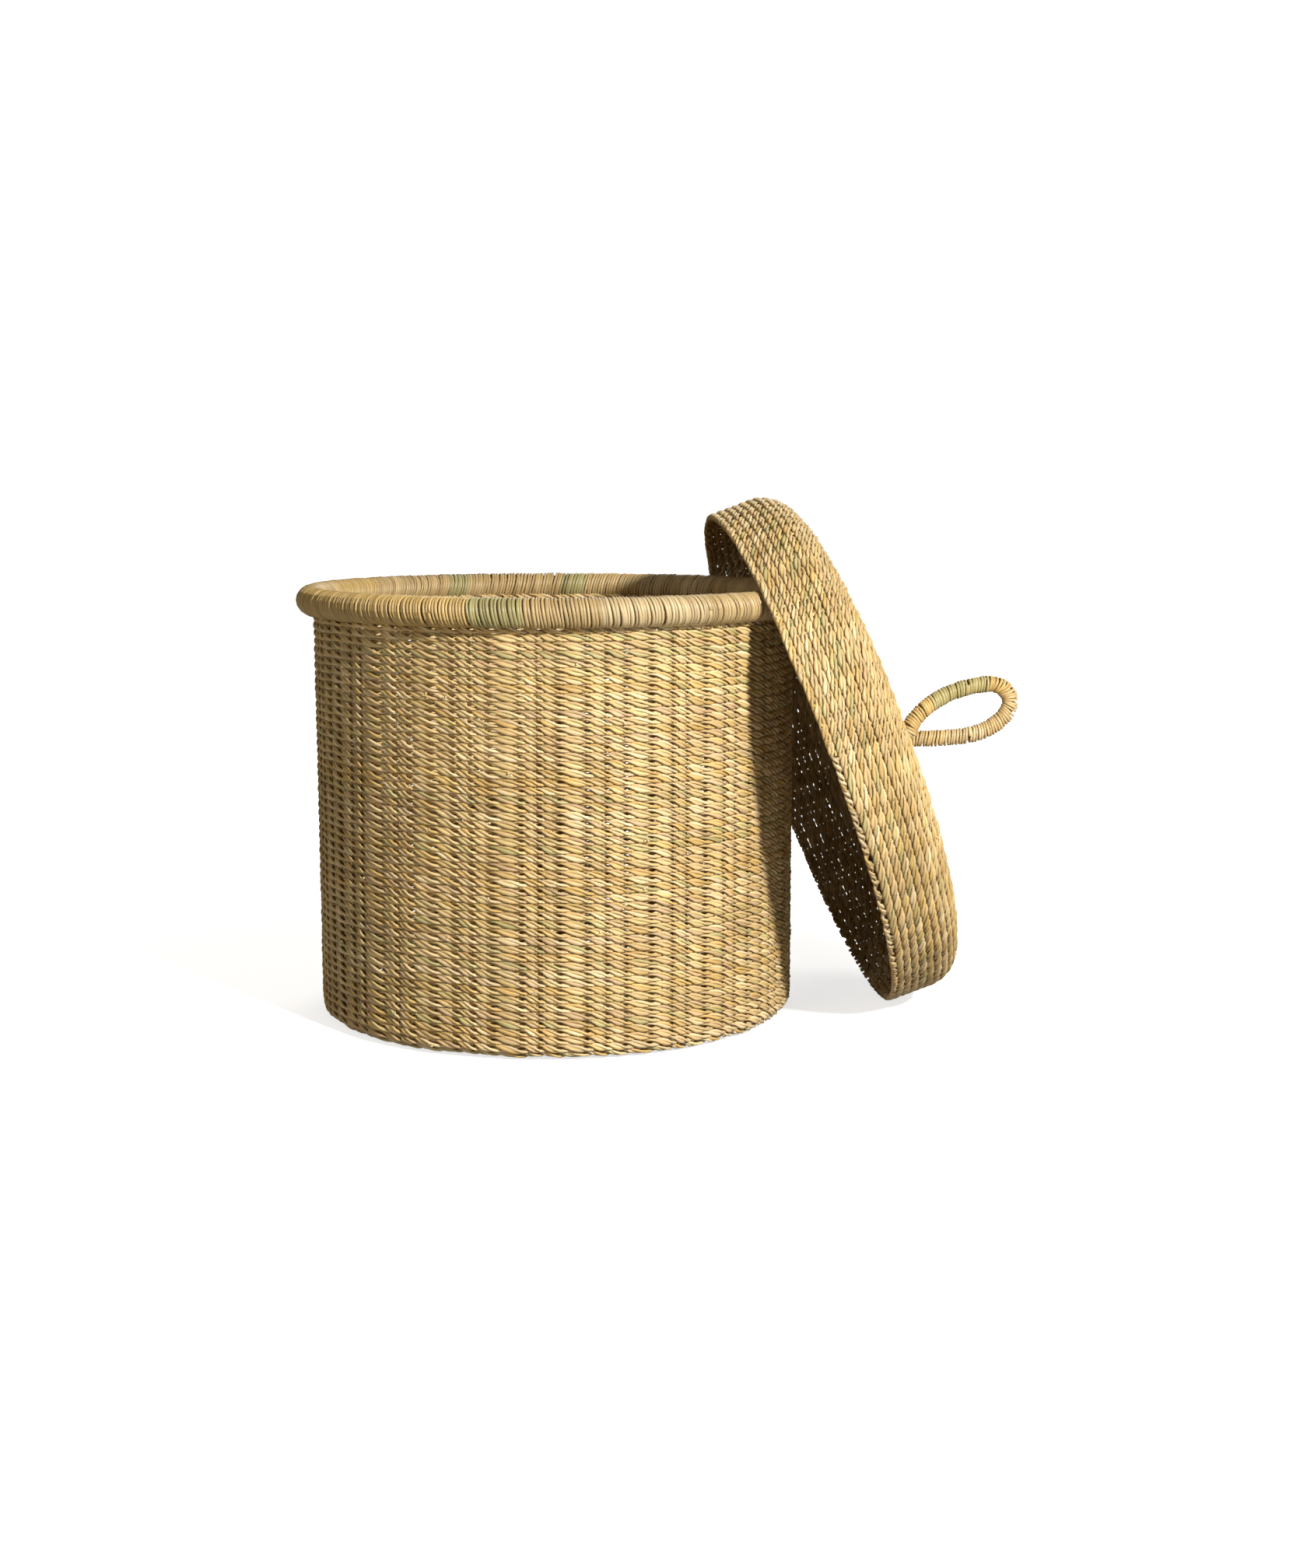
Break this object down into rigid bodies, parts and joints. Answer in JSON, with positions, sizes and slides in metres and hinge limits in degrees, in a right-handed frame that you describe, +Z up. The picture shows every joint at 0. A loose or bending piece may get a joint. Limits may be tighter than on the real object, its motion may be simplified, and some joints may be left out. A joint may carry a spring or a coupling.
{
  "type": "woven laundry basket with lid",
  "caption": "Round twined straw laundry basket with a wrapped rim hoop and a separate cap-like lid, which leans on the rim and carries a wrapped loop handle.",
  "frame": {"origin": "middle of the basket's flat underside, on the floor", "axes": "+Z up along the basket's axis, +X towards the side that the lid leans on, +Y to the back"},
  "size_m": [0.6871, 0.4936, 0.4802],
  "materials": {
    "weave": "twined straw, satin",
    "stakes": "raw straw bundle",
    "tan_straw": "wrapped straw, satin",
    "gold_straw": "wrapped straw, satin",
    "green_straw": "wrapped straw, satin"
  },
  "bodies": {
    "basket": {"basket_base_weave": "weave", "basket_wall_weave": "weave", "basket_stakes": "stakes", "rim_hoop": "stakes", "rim_wrap_1": "gold_straw", "rim_wrap_2": "tan_straw", "rim_wrap_3": "tan_straw", "rim_wrap_4": "gold_straw", "rim_wrap_5": "green_straw", "rim_wrap_6": "tan_straw"},
    "lid_arm": {"handle_tail_knot": "gold_straw"},
    "lid": {"lid_top_weave": "weave", "lid_shoulder_weave": "weave", "lid_skirt_weave": "weave", "lid_stakes": "stakes", "lid_edge_border": "tan_straw", "handle_collar": "gold_straw"},
    "handle": {"handle_core": "stakes", "handle_wrap_1": "tan_straw", "handle_wrap_2": "gold_straw", "handle_wrap_3": "green_straw"}
  },
  "joints": [
    {"name": "lid_swing", "type": "hinge", "parent": "basket", "child": "lid_arm", "pos_m": [0.18345, 0, 0.40424], "axis": [0, -1, 0], "range_deg": [0, 236.97]},
    {"name": "lid_turn", "type": "hinge", "parent": "lid_arm", "child": "lid", "pos_m": [0.28532, 0, 0.25165], "axis": [0, -1, 0], "range_deg": [-166.58, 0]},
    {"name": "handle_flex", "type": "hinge", "parent": "lid", "child": "handle", "pos_m": [0.32065, 0, 0.26423], "axis": [-0.3355, 0, 0.9421], "range_deg": [-30, 30], "stiffness_Nm_per_rad": 1}
  ],
  "couplings": [
    {"joint": "lid_turn", "follows": "lid_swing", "ratio": -0.70292}
  ]
}
